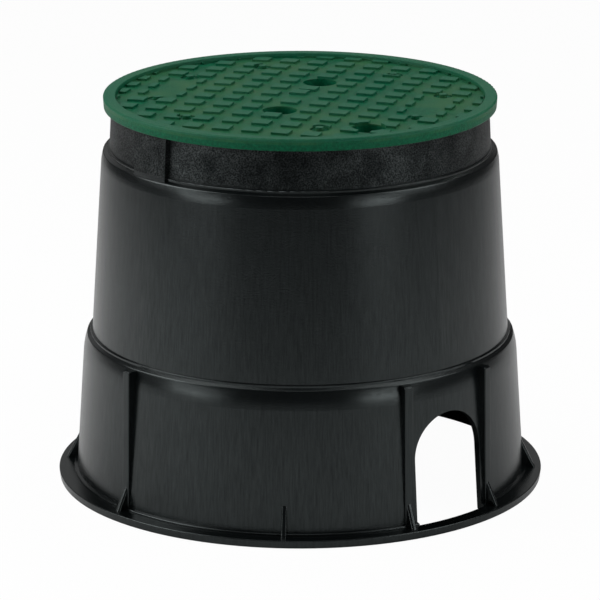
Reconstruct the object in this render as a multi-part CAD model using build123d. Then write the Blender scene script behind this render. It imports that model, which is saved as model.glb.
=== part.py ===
from build123d import *
import math
import os

# Round irrigation valve box: a moulded housing and the moulded cover that lies on its neck.
# The origin is at the middle of the foot, +Z is up, and the two pipe slots open along +X and -X.

# Overall size and the plastic
height = 260.0
flange_radius = 162.3
wall = 3.5
edge_round = 0.6

# Foot flange, and the small step between it and the skirt
flange_width = 12.4
flange_draft = 0.7
flange_thickness = 5.3
flange_seat_width = 9.8
foot_step_width = 2.2
foot_step_height = 1.0
foot_step_round = 0.8
foot_step_rise = 0.6
foot_underside = 2.7

# Inward lean of the walls for each millimetre of height
skirt_slope = 0.0663
wall_slope = 0.0637
neck_slope = 0.0486

# Ledge between the skirt and the upper wall, placed by its outer edge
ledge_level = 98.8
ledge_width = 3.56
ledge_brow_height = 6.6
ledge_brow_inset = 1.69
ledge_brow_round = 48.0

# Shoulder between the upper wall and the neck, placed by its outer edge below the cover's top
shoulder_drop = 37.1
shoulder_width = 4.25
shoulder_brow_height = 4.2
shoulder_brow_inset = 0.9
shoulder_brow_round = 36.0

# Section that ledge and shoulder share: a round outer edge, a rise, and a flat bead
edge_roll = 1.0
ledge_rise = 1.5
bead_step = 1.3
bead_width = 1.4
bead_fall = 0.4
bead_round = 0.4

# Upright ribs and gussets on the skirt; a rib grows deeper towards its top
rib_width = 6.0
rib_foot_depth = 1.2
rib_top_depth = 5.6
rib_drop = 0.4
rib_chamfer = 1.0
rib_round = 0.7
slot_rib_angle = 13.35
gusset_thickness = 3.7
gusset_height = 19.0
gusset_reach = 4.0
gusset_round = 1.4

# Pipe slots
slot_width = 56.5
slot_top = 75.4

# Lock pads on the neck
pad_width = 31.0
pad_inset = 0.8
pad_clearance = 0.4

# Cover: rim, crowned floor and seating lip
cover_overhang = 5.3
cover_draft = 0.5
cover_turn = 30.9
rim_width = 8.1
rim_slope = 0.5
rim_round = 1.2
floor_drop = 3.4
floor_crown = 1.3
plate_thickness = 2.2
lip_depth = 2.3
lip_clearance = 0.6

# Treads on the cover, which follow its crown
tread_height = 1.5
tread_pitch = 19.8
tread_length = 11.2
tread_breadth = 10.2
tread_margin = 0.8
smooth_panel_inner = 77.6
smooth_panel_outer = 100.1
smooth_panel_breadth = 59.2
middle_tread_place = (-2.8, 7.4)

# Finger and bolt holes, each with a cup under it, placed as share of the cover's radius and angle
hole_diameter = 22.5
hole_places = ((0.328, 90.0), (0.328, -90.0), (0.752, -45.5))
cup_wall = 2.5
cup_depth = 8.8
cup_floor = 2.2
drain_diameter = 8.0

# Small marks, a shallow round recess with a peg in it, placed like the holes
mark_diameter = 12.4
mark_depth = 1.0
peg_diameter = 5.2
mark_places = ((0.725, 20.0), (0.701, 64.2), (0.717, 123.9), (0.725, 160.0))

# Underside of the cover, with the inner ring placed as share of the locating ring's radius
ring_clearance = 0.6
ring_thickness = 2.5
ring_depth = 8.0
stiffener_depth = 6.0
stiffener_thickness = 2.5
stiffener_count = 8
inner_ring_share = 0.56
hub_radius = 8.0

# Levels that follow from the sizes above
foot_top = flange_thickness + foot_step_height
skirt_foot = foot_top + foot_step_rise
step_rise = ledge_rise + bead_step + bead_fall
wall_foot = ledge_level + step_rise
shoulder_level = height - shoulder_drop
neck_foot = shoulder_level + step_rise
floor_edge = height - floor_drop
floor_middle = floor_edge + floor_crown
neck_top = floor_edge - plate_thickness
lip_bottom = neck_top - lip_depth
overshoot = 1.0

# Radii that follow, from the flange up to the cover
seat_inner_radius = flange_radius - flange_draft - flange_seat_width
skirt_foot_radius = flange_radius - flange_width
foot_step_radius = skirt_foot_radius + foot_step_width
ledge_edge_radius = skirt_foot_radius - skirt_slope * (ledge_level - skirt_foot) - ledge_brow_inset
wall_foot_radius = ledge_edge_radius - ledge_width
wall_top_radius = wall_foot_radius - wall_slope * (shoulder_level - wall_foot)
shoulder_edge_radius = wall_top_radius - shoulder_brow_inset
neck_foot_radius = shoulder_edge_radius - shoulder_width
neck_top_radius = neck_foot_radius - neck_slope * (neck_top - neck_foot)
cover_radius = neck_top_radius + cover_overhang
rim_inner_radius = cover_radius - rim_width
floor_radius = rim_inner_radius - rim_slope
crown_radius = (floor_radius ** 2 + floor_crown ** 2) / (2 * floor_crown)


def skirt_radius(level):
    return skirt_foot_radius - skirt_slope * (level - skirt_foot)


def wall_radius(level):
    return wall_foot_radius - wall_slope * (level - wall_foot)


def neck_radius(level):
    return neck_foot_radius - neck_slope * (level - neck_foot)


def pad_radius(level):
    return shoulder_edge_radius - pad_inset - neck_slope * (level - shoulder_level)


def turned(corners):
    """Solid of revolution about Z from (radius, level, rounding) corners."""
    points = [(radius, 0, level) for radius, level, rounding in corners]
    roundings = [rounding for radius, level, rounding in corners]
    outline = FilletPolyline(*points, radius=roundings, close=True)
    return revolve(make_face(outline), Axis.Z, 360)


def disc(radius, low, high):
    """Upright cylinder between two levels."""
    return Pos(0, 0, (low + high) / 2) * Cylinder(radius, high - low)


def round_ring(inner, outer, low, high):
    """Plain ring with an upright bore."""
    return disc(outer, low, high) - disc(inner, low - overshoot, high + overshoot)


def block(x_low, x_high, breadth, z_low, z_high):
    """Box that is centred on the XZ plane."""
    size = (x_high - x_low, breadth, z_high - z_low)
    centre = ((x_low + x_high) / 2, 0, (z_low + z_high) / 2)
    return Pos(*centre) * Box(*size)


def leans(edge):
    """Whether an edge is neither upright nor level."""
    direction = edge.tangent_at(0.5)
    return abs(direction.X * direction.Z) > 0.001


def web(points, thickness, rounding):
    """Plate on the XZ plane from (radius, level) points, with its leaning edges rounded."""
    outline = Polyline(*[(radius, 0, level) for radius, level in points], close=True)
    plate = extrude(make_face(outline), thickness / 2, dir=(0, 1, 0), both=True)
    sides = plate.faces().filter_by(Axis.Y)
    return fillet(sides.edges().filter_by(leans), rounding)


def step_corners(edge_radius, edge_level, upper_radius):
    """Corners of a ledge from its outer edge up to the foot of the wall above it."""
    bead_radius = upper_radius + bead_width
    bead_foot = edge_level + ledge_rise
    bead_edge = bead_foot + bead_step
    return [
        (edge_radius, edge_level, edge_roll),
        (bead_radius, bead_foot, 0),
        (bead_radius, bead_edge, bead_round),
        (upper_radius, bead_edge + bead_fall, 0),
    ]


def housing_shell():
    """Flange, skirt, ledge, upper wall, shoulder and neck as one thin wall."""
    ledge_brow = ledge_level - ledge_brow_height
    shoulder_brow = shoulder_level - shoulder_brow_height
    outside = [
        (seat_inner_radius, 0, 0),
        (flange_radius - flange_draft, 0, edge_round),
        (flange_radius, flange_thickness, edge_round),
        (foot_step_radius, flange_thickness, 0),
        (foot_step_radius, foot_top, foot_step_round),
        (skirt_foot_radius, skirt_foot, 0),
        (skirt_radius(ledge_brow), ledge_brow, ledge_brow_round),
    ]
    outside += step_corners(ledge_edge_radius, ledge_level, wall_foot_radius)
    outside.append((wall_radius(shoulder_brow), shoulder_brow, shoulder_brow_round))
    outside += step_corners(shoulder_edge_radius, shoulder_level, neck_foot_radius)
    outside.append((neck_top_radius, neck_top, edge_round))
    inside = [
        (neck_top_radius - wall, neck_top, 0),
        (neck_foot_radius - wall, neck_foot - wall, 0),
        (shoulder_edge_radius - wall, shoulder_level - wall, 0),
        (wall_foot_radius - wall, wall_foot - wall, 0),
        (ledge_edge_radius - wall, ledge_level - wall, 0),
        (skirt_foot_radius - wall, foot_underside, 0),
    ]
    return turned(outside + inside)


def pad_body(inset, low, inner):
    """Lock pad that stands on the shoulder against the neck, made smaller by an inset."""
    high = lip_bottom - pad_clearance - inset
    corners = [
        (inner, low, 0),
        (pad_radius(low) - inset, low, 0),
        (pad_radius(high) - inset, high, 0),
        (inner, high, 0),
    ]
    strip = block(inner / 2, flange_radius, pad_width - 2 * inset, low, high)
    return turned(corners) & strip


def pads(inset, low, inner):
    """Both lock pads, on the -Y and +Y sides."""
    return [Rot(0, 0, angle) * pad_body(inset, low, inner) for angle in (-90, 90)]


def rib_angles():
    """Ribs beside both slots and one below each lock pad."""
    beside_slots = [side + turn for side in (0, 180) for turn in (-slot_rib_angle, slot_rib_angle)]
    return beside_slots + [-90, 90]


def gusset_angles():
    """Gussets at the foot of each rib and halfway between slot and pad."""
    return rib_angles() + [45, 135, 225, 315]


def rib():
    """Upright rib on the skirt, rooted in its wall and in the flange."""
    foot = flange_thickness / 2
    top = ledge_level - rib_drop
    foot_face = skirt_foot_radius + rib_foot_depth
    top_face = skirt_radius(top) + rib_top_depth
    points = [
        (skirt_foot_radius - wall / 2, foot),
        (foot_face, foot),
        (top_face, top - rib_chamfer),
        (top_face - rib_chamfer, top),
        (skirt_radius(top) - wall, top),
    ]
    return web(points, rib_width, rib_round)


def gusset():
    """Small triangular plate between the skirt and the flange."""
    foot = flange_thickness / 2
    top = flange_thickness + gusset_height
    root = skirt_radius(top) - wall / 2
    points = [
        (root, foot),
        (flange_radius - gusset_reach, foot),
        (flange_radius - gusset_reach, flange_thickness),
        (skirt_radius(top), top),
        (root, top),
    ]
    return web(points, gusset_thickness, gusset_round)


def slot_cut():
    """Arched pipe slot through the skirt on the +X side, standing on the flange."""
    arch_radius = slot_width / 2
    near = skirt_foot_radius / 2
    far = flange_radius + overshoot
    spring = slot_top - arch_radius
    jambs = block(near, far, slot_width, flange_thickness, spring)
    arch = Pos((near + far) / 2, 0, spring) * Rot(0, 90, 0) * Cylinder(arch_radius, far - near)
    sill = block(near, far, slot_width, -overshoot, flange_thickness + overshoot)
    return [jambs, arch, sill & Cylinder(foot_step_radius, height)]


def both_ways(shapes):
    """The shapes, and the same shapes turned to the opposite side."""
    return [Rot(0, 0, angle) * shape for angle in (0, 180) for shape in shapes]


def housing():
    added = pads(0, shoulder_level - wall / 2, neck_top_radius - wall / 2)
    added += [Rot(0, 0, angle) * rib() for angle in rib_angles()]
    added += [Rot(0, 0, angle) * gusset() for angle in gusset_angles()]
    solid = housing_shell().fuse(*added)
    removed = pads(wall, shoulder_level - 2 * wall, neck_top_radius - 2 * wall)
    removed += both_ways(slot_cut())
    return solid.cut(*removed)


def crown_level(radius):
    """Level of the crowned floor at a radius."""
    return floor_middle - crown_radius + math.sqrt(crown_radius ** 2 - radius ** 2)


def under_crown(rise):
    """Ball whose top is the crowned floor, or lies above it by a rise."""
    return Pos(0, 0, floor_middle - crown_radius + rise) * Sphere(crown_radius)


def cover_shell():
    """Rim, seating lip and crowned floor of the cover."""
    lip_radius = neck_radius(lip_bottom) + lip_clearance
    corners = [
        (floor_radius, neck_top, 0),
        (lip_radius, neck_top, 0),
        (lip_radius, lip_bottom, 0),
        (cover_radius - cover_draft, lip_bottom, edge_round),
        (cover_radius, height, rim_round),
        (rim_inner_radius, height, edge_round),
    ]
    floor = disc(rim_inner_radius, neck_top, height) & under_crown(0)
    return turned(corners) + floor


def place_of(share, angle):
    """Point on the cover from its share of the cover's radius and its angle."""
    radius = share * cover_radius
    return (radius * math.cos(math.radians(angle)), radius * math.sin(math.radians(angle)))


def hole_centres():
    return [place_of(share, angle) for share, angle in hole_places]


def mark_centres():
    """All marks, the listed ones and their mirror images across the cover's X axis."""
    return [place_of(share, side * angle) for share, angle in mark_places for side in (1, -1)]


def tread_places():
    """Square lattice of treads, with the middle one moved aside."""
    reach = int(cover_radius / tread_pitch) + 1
    steps = range(-reach, reach + 1)
    lattice = [(i * tread_pitch, j * tread_pitch) for i in steps for j in steps if i or j]
    inside = [place for place in lattice if math.hypot(*place) < cover_radius]
    return inside + [middle_tread_place]


def tread_outline():
    """Outline of all treads, trimmed by the rim and the smooth panels."""
    limit = floor_radius - tread_margin
    tiles = Sketch() + [Pos(*place) * Rectangle(tread_length, tread_breadth) for place in tread_places()]
    panel_length = smooth_panel_outer - smooth_panel_inner
    panel_middle = (smooth_panel_outer + smooth_panel_inner) / 2
    panel = Rectangle(panel_length, smooth_panel_breadth)
    gaps = [Pos(side * panel_middle, 0) * panel for side in (-1, 1)]
    return (tiles & Circle(limit)) - gaps


def treads():
    """All treads, rooted in the cover's floor."""
    root = neck_top + plate_thickness / 2
    return Pos(0, 0, root) * extrude(tread_outline(), height - root) & under_crown(tread_height)


def cup(place):
    """Closed cup under a hole."""
    radius = hole_diameter / 2 + cup_wall
    return Pos(*place) * disc(radius, floor_edge - cup_depth, neck_top + plate_thickness / 2)


def hole_cut(place):
    """Hole down to the floor of its cup, with a drain in that floor."""
    low = floor_edge - cup_depth
    bore = disc(hole_diameter / 2, low + cup_floor, height + overshoot)
    drain = disc(drain_diameter / 2, low - overshoot, height)
    return [Pos(*place) * bore, Pos(*place) * drain]


def underside():
    """Locating ring, inner ring, hub and spokes below the cover's floor, rooted in it."""
    ring_outer = neck_top_radius - wall - ring_clearance
    inner_ring = inner_ring_share * ring_outer
    low = neck_top - stiffener_depth
    high = neck_top + plate_thickness / 2
    parts = [
        round_ring(ring_outer - ring_thickness, ring_outer, neck_top - ring_depth, high),
        round_ring(inner_ring - stiffener_thickness, inner_ring, low, high),
        disc(hub_radius, low, high),
    ]
    spoke = block(0, ring_outer - ring_thickness / 2, stiffener_thickness, low, high)
    step = 360 / stiffener_count
    parts += [Rot(0, 0, (turn + 0.5) * step) * spoke for turn in range(stiffener_count)]
    return parts


def mark_cut(place):
    """Shallow round recess of a mark."""
    bottom = crown_level(math.hypot(*place)) - mark_depth
    return Pos(*place) * disc(mark_diameter / 2, bottom, height + overshoot)


def peg(place):
    """Peg in the middle of a mark, as high as the treads."""
    level = crown_level(math.hypot(*place))
    return Pos(*place) * disc(peg_diameter / 2, level - 1.5 * mark_depth, level + tread_height)


def cover():
    added = underside() + [treads()]
    added += [cup(place) for place in hole_centres()]
    removed = [tool for place in hole_centres() for tool in hole_cut(place)]
    removed += [mark_cut(place) for place in mark_centres()]
    pegs = [peg(place) for place in mark_centres()]
    solid = cover_shell().fuse(*added).cut(*removed).fuse(*pegs)
    return Rot(0, 0, cover_turn) * solid


os.makedirs("parts", exist_ok=True)
export_step(housing(), "parts/box_body.step")
export_step(cover(), "parts/cover.step")
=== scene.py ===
"""Looks of a round irrigation valve box: black moulded housing, green moulded cover."""
import math

import bpy
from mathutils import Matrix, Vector

# Camera of the photograph, in metres and degrees; the lens is for a 36 mm wide sensor
CAMERA_AZIMUTH = 48.9
CAMERA_REACH = 2.5507
CAMERA_HEIGHT = 0.85044
CAMERA_PITCH = 16.014
LENS = 238.69
SENSOR = 36.0
FRAME_SHIFT = -0.00033
SIGHT = 50.0

# Studio: a pale floor in a dim room
ROOM_LEVEL = 0.05
FLOOR_SIZE = 3.4
FLOOR_COLOUR = (0.8, 0.8, 0.8, 1.0)
FLOOR_GLOW = 0.97
WHITE = (1.0, 1.0, 1.0, 1.0)

# Lamps: azimuth from the camera, elevation, distance from the aim, width, height, power
AIM = (0.0, 0.0, 0.13)
LAMPS = (
    ("left_high", -80, 32, 1.15, 0.8, 0.8, 8.5),
    ("right_high", 70, 32, 1.15, 0.7, 0.8, 5),
    ("left_low", -56, 3.4, 3.2, 1.5, 0.3, 7.5),
    ("right_low", 44, 3.4, 3.2, 1.2, 0.3, 7.5),
    ("front_top", -4, 66, 2.0, 1.0, 0.6, 3),
    ("top_back", 180, 70, 1.6, 2.0, 1.2, 14),
    ("backdrop", 190, 18, 3.0, 3.0, 1.2, 2.6),
)

# Colours, linear
BLACK = (0.0016, 0.0022, 0.0024)
LIGHT_BLACK = tuple(1.6 * part for part in BLACK)
BLACK_GLOSS = (0.88, 1.0, 1.0, 1.0)
GREEN = (0.001, 0.085, 0.038)
DARK_GREEN = tuple(0.75 * part for part in GREEN)
LIGHT_GREEN = tuple(1.3 * part for part in GREEN)
# Paler green over the cover's upper faces in patches: painted sheen, with a random paler tone
SHEEN_AND_FADE_GREEN = (0.024, 0.11, 0.044)
# Paler green on the tread tops and the rim: painted sheen
SHEEN_GREEN = (0.015, 0.115, 0.066)

# Noise patterns: scale, detail, roughness
STREAKS = (900, 5.0, 0.75)
CLOUDS = (30, 4.0, 0.6)
NECK_PATCHES = (55, 4.0, 0.6)
HOUSING_GRAIN = (1100, 3.0, 0.6)
COVER_GRAIN = (900, 4.0, 0.6)
COVER_FLECKS = (520, 3.0, 0.7)
# Patches of the painted sheen and paler tone on the cover's upper faces
SHEEN_AND_FADE_PATCHES = (24, 4.0, 0.6)

# Height of a streak's noise against its width; a small number makes long upright streaks
STREAK_STRETCH = 0.03

# Ranges of noise that a pattern shows, from its darkest to its lightest places
WIDE = (0.3, 0.7)
MIDDLE = (0.35, 0.65)
STRONG = (0.4, 0.65)
SPECKS = (0.42, 0.72)

# Finish: roughness and specular level; a range is spread over the surface by a pattern
WALL_ROUGHNESS = 0.23
NECK_ROUGHNESS = 0.42
WALL_SHINE = (0.33, 0.6)
NECK_SHINE = (0.3, 0.8)
SPECK_SHINE = (0.2, 1.4)
COVER_ROUGHNESS = 0.38
COVER_SHINE = 0.13
# Share of the painted sheen colour on the tread tops and the rim, spread by the grain
TREAD_SHEEN_SHARE = (0.2, 1.0)

# Bump of the grain: strength, and depth in metres
HOUSING_BUMP = (0.25, 0.0003)
COVER_BUMP = (0.5, 0.0006)

# Height where the neck of the housing starts, and half the blend there, in metres
NECK_FOOT = 0.2261
NECK_BLEND = 0.0005

# Lowest heights of the cover's crowned floor and of its treads, and the step of the blend there
FLOOR_LEVEL = 0.2565
TREAD_LEVEL = 0.2582
LEVEL_STEP = 0.0001

# Rounding of the cover's moulded edges, in metres
EDGE_ROUND = 0.0006
EDGE_SAMPLES = 4


def nodes_of(material):
    """Empty node tree of a material, with its output node."""
    material.use_nodes = True
    tree = material.node_tree
    tree.nodes.clear()
    return tree, tree.nodes.new("ShaderNodeOutputMaterial")


def add_node(tree, kind, inputs=None, **settings):
    """New node with its settings and its unlinked input values."""
    node = tree.nodes.new(kind)
    for name, value in settings.items():
        setattr(node, name, value)
    for name, value in (inputs or {}).items():
        node.inputs[name].default_value = value
    return node


def link(tree, source, target):
    tree.links.new(source, target)


def object_point(tree, scale=(1, 1, 1)):
    """Point on the object in metres, stretched by a scale for each axis."""
    place = add_node(tree, "ShaderNodeTexCoord")
    mapping = add_node(tree, "ShaderNodeMapping", {"Scale": scale})
    link(tree, place.outputs["Object"], mapping.inputs["Vector"])
    return mapping.outputs["Vector"]


def height_of(tree, point):
    node = add_node(tree, "ShaderNodeSeparateXYZ")
    link(tree, point, node.inputs["Vector"])
    return node.outputs["Z"]


def noise(tree, point, pattern):
    """Noise value between 0 and 1 of a named pattern."""
    inputs = dict(zip(("Scale", "Detail", "Roughness"), pattern))
    node = add_node(tree, "ShaderNodeTexNoise", inputs)
    link(tree, point, node.inputs["Vector"])
    return node.outputs["Fac"]


def remap(tree, value, source, target=(0.0, 1.0)):
    """Linear map of a value from one range to another, clamped."""
    inputs = dict(zip(("From Min", "From Max", "To Min", "To Max"), (*source, *target)))
    node = add_node(tree, "ShaderNodeMapRange", inputs)
    link(tree, value, node.inputs["Value"])
    return node.outputs["Result"]


def above(tree, height, level):
    """One for places at least as high as a level, otherwise zero."""
    return remap(tree, height, (level - 4 * LEVEL_STEP, level - LEVEL_STEP))


def multiply(tree, first, second):
    """Product of two values, each a socket."""
    node = add_node(tree, "ShaderNodeMath", operation="MULTIPLY")
    link(tree, first, node.inputs[0])
    link(tree, second, node.inputs[1])
    return node.outputs["Value"]


def mix_colour(tree, factor, first, second):
    """Mix of two colours, each a socket or a plain colour."""
    node = add_node(tree, "ShaderNodeMix", data_type="RGBA")
    link(tree, factor, node.inputs["Factor"])
    for name, colour in (("A", first), ("B", second)):
        socket = [item for item in node.inputs if item.name == name and item.type == "RGBA"][0]
        if isinstance(colour, tuple):
            socket.default_value = (*colour, 1.0)
        else:
            link(tree, colour, socket)
    return [item for item in node.outputs if item.type == "RGBA"][0]


def mix_value(tree, factor, first, second):
    """Mix of two values, each a socket."""
    node = add_node(tree, "ShaderNodeMix", data_type="FLOAT")
    for name, value in (("Factor", factor), ("A", first), ("B", second)):
        link(tree, value, node.inputs[name])
    return node.outputs["Result"]


def bump(tree, height, strength, depth, normal=None):
    """Bump from a height value, laid over another normal where one is given."""
    node = add_node(tree, "ShaderNodeBump", {"Strength": strength, "Distance": depth})
    link(tree, height, node.inputs["Height"])
    if normal is not None:
        link(tree, normal, node.inputs["Normal"])
    return node.outputs["Normal"]


def rounded_edges(tree):
    """Normal that rounds the moulded edges of the cover."""
    node = add_node(tree, "ShaderNodeBevel", {"Radius": EDGE_ROUND}, samples=EDGE_SAMPLES)
    return node.outputs["Normal"]


def housing_shine(tree, point, on_neck, grain):
    """Specular level: upright draw lines on the walls, patches of fine specks on the neck."""
    streaks = noise(tree, object_point(tree, (1, 1, STREAK_STRETCH)), STREAKS)
    drawn = remap(tree, streaks, WIDE, WALL_SHINE)
    patches = remap(tree, noise(tree, point, NECK_PATCHES), MIDDLE, NECK_SHINE)
    speckle = multiply(tree, patches, remap(tree, grain, SPECKS, SPECK_SHINE))
    return mix_value(tree, on_neck, drawn, speckle)


def housing_plastic():
    """Black moulded plastic: fine upright draw lines on the walls, a fine rough grain on the neck."""
    material = bpy.data.materials.new("black_moulding")
    tree, output = nodes_of(material)
    shader = add_node(tree, "ShaderNodeBsdfPrincipled", {"Specular Tint": BLACK_GLOSS})
    point = object_point(tree)
    height = height_of(tree, point)
    neck_edge = (NECK_FOOT - NECK_BLEND, NECK_FOOT + NECK_BLEND)
    clouds = remap(tree, noise(tree, point, CLOUDS), WIDE)
    grain = noise(tree, point, HOUSING_GRAIN)
    colour = mix_colour(tree, clouds, BLACK, LIGHT_BLACK)
    roughness = remap(tree, height, neck_edge, (WALL_ROUGHNESS, NECK_ROUGHNESS))
    shine = housing_shine(tree, point, remap(tree, height, neck_edge), grain)
    link(tree, colour, shader.inputs["Base Color"])
    link(tree, roughness, shader.inputs["Roughness"])
    link(tree, shine, shader.inputs["Specular IOR Level"])
    link(tree, bump(tree, grain, *HOUSING_BUMP), shader.inputs["Normal"])
    link(tree, shader.outputs["BSDF"], output.inputs["Surface"])
    return material


def cover_colour(tree, point, grain):
    """Flecked green, paler in patches on every face from the cover's floor up (painted sheen with a
    random paler tone), and paler still on the treads and the rim (painted sheen).
    """
    height = height_of(tree, point)
    # Painted sheen with a random paler tone, in patches on every face from the cover's floor up
    patches = remap(tree, noise(tree, point, SHEEN_AND_FADE_PATCHES), STRONG)
    sheen_and_fade = multiply(tree, above(tree, height, FLOOR_LEVEL), patches)
    # Painted sheen on the tread tops and the rim
    sheen_spread = remap(tree, grain, WIDE, TREAD_SHEEN_SHARE)
    sheen_tops = multiply(tree, above(tree, height, TREAD_LEVEL), sheen_spread)
    flecks = remap(tree, noise(tree, point, COVER_FLECKS), MIDDLE)
    fresh = mix_colour(tree, flecks, DARK_GREEN, LIGHT_GREEN)
    moulded = mix_colour(tree, sheen_and_fade, fresh, SHEEN_AND_FADE_GREEN)
    return mix_colour(tree, sheen_tops, moulded, SHEEN_GREEN)


def cover_plastic():
    """Green moulded plastic with a fine grain and softly rounded edges."""
    material = bpy.data.materials.new("green_moulding")
    tree, output = nodes_of(material)
    finish = {"Roughness": COVER_ROUGHNESS, "Specular IOR Level": COVER_SHINE}
    shader = add_node(tree, "ShaderNodeBsdfPrincipled", finish)
    point = object_point(tree)
    grain = noise(tree, point, COVER_GRAIN)
    normal = bump(tree, grain, *COVER_BUMP, normal=rounded_edges(tree))
    link(tree, cover_colour(tree, point, grain), shader.inputs["Base Color"])
    link(tree, normal, shader.inputs["Normal"])
    link(tree, shader.outputs["BSDF"], output.inputs["Surface"])
    return material


def camera_share(tree, others, camera):
    """Value that camera rays see, and another one that all other rays see."""
    path = add_node(tree, "ShaderNodeLightPath")
    return remap(tree, path.outputs["Is Camera Ray"], (0.0, 1.0), (others, camera))


def floor_material():
    """White floor that shows as the white background and keeps a faint shadow."""
    material = bpy.data.materials.new("white_floor")
    tree, output = nodes_of(material)
    matte = add_node(tree, "ShaderNodeBsdfDiffuse", {"Color": FLOOR_COLOUR})
    glow = add_node(tree, "ShaderNodeEmission", {"Color": WHITE, "Strength": 1.0})
    blend = add_node(tree, "ShaderNodeMixShader")
    link(tree, camera_share(tree, 0.0, FLOOR_GLOW), blend.inputs["Fac"])
    link(tree, matte.outputs["BSDF"], blend.inputs[1])
    link(tree, glow.outputs["Emission"], blend.inputs[2])
    link(tree, blend.outputs["Shader"], output.inputs["Surface"])
    return material


def add_floor():
    half = FLOOR_SIZE / 2
    corners = [(-half, -half, 0), (half, -half, 0), (half, half, 0), (-half, half, 0)]
    mesh = bpy.data.meshes.new("floor")
    mesh.from_pydata(corners, [], [(0, 1, 2, 3)])
    floor = bpy.data.objects.new("floor", mesh)
    floor.data.materials.append(floor_material())
    bpy.context.scene.collection.objects.link(floor)


def direction(azimuth, elevation):
    """Unit vector towards a place seen from the object."""
    turn = math.radians(azimuth)
    rise = math.radians(elevation)
    level = math.cos(rise)
    return Vector((math.sin(turn) * level, -math.cos(turn) * level, math.sin(rise)))


def set_world():
    """Dim room that is white to the camera."""
    world = bpy.data.worlds.new("studio")
    world.use_nodes = True
    tree = world.node_tree
    tree.nodes.clear()
    output = add_node(tree, "ShaderNodeOutputWorld")
    background = add_node(tree, "ShaderNodeBackground", {"Color": WHITE})
    link(tree, camera_share(tree, ROOM_LEVEL, 1.0), background.inputs["Strength"])
    link(tree, background.outputs["Background"], output.inputs["Surface"])
    bpy.context.scene.world = world


def add_lamp(name, azimuth, elevation, distance, width, height, power):
    """Rectangular soft lamp that faces the object."""
    data = bpy.data.lights.new(name, "AREA")
    data.shape = "RECTANGLE"
    data.size = width
    data.size_y = height
    data.energy = power
    lamp = bpy.data.objects.new(name, data)
    towards = direction(CAMERA_AZIMUTH + azimuth, elevation)
    lamp.location = Vector(AIM) + distance * towards
    lamp.rotation_euler = towards.to_track_quat("Z", "Y").to_euler()
    bpy.context.scene.collection.objects.link(lamp)


def add_camera():
    """Camera at the photograph's place, level from side to side and looking down."""
    data = bpy.data.cameras.new("photo_camera")
    data.sensor_fit = "HORIZONTAL"
    data.sensor_width = SENSOR
    data.lens = LENS
    data.shift_x = FRAME_SHIFT
    data.clip_end = SIGHT
    camera = bpy.data.objects.new("photo_camera", data)
    turn = math.radians(CAMERA_AZIMUTH)
    across = (CAMERA_REACH * math.sin(turn), -CAMERA_REACH * math.cos(turn))
    camera.location = (*across, CAMERA_HEIGHT)
    camera.rotation_euler = (math.radians(90 - CAMERA_PITCH), 0, turn)
    bpy.context.scene.collection.objects.link(camera)
    bpy.context.scene.camera = camera


def set_material(node, material):
    for slot in node.material_slots:
        slot.material = material


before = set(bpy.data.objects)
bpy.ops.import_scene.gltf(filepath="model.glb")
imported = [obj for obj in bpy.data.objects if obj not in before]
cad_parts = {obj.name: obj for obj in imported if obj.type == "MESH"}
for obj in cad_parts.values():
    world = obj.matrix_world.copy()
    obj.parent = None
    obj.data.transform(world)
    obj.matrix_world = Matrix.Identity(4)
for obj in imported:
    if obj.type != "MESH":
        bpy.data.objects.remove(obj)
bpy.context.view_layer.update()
bpy.context.scene.view_settings.view_transform = "Standard"
set_material(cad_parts["box_body"], housing_plastic())
set_material(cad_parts["cover"], cover_plastic())
add_floor()
set_world()
for lamp in LAMPS:
    add_lamp(*lamp)
add_camera()
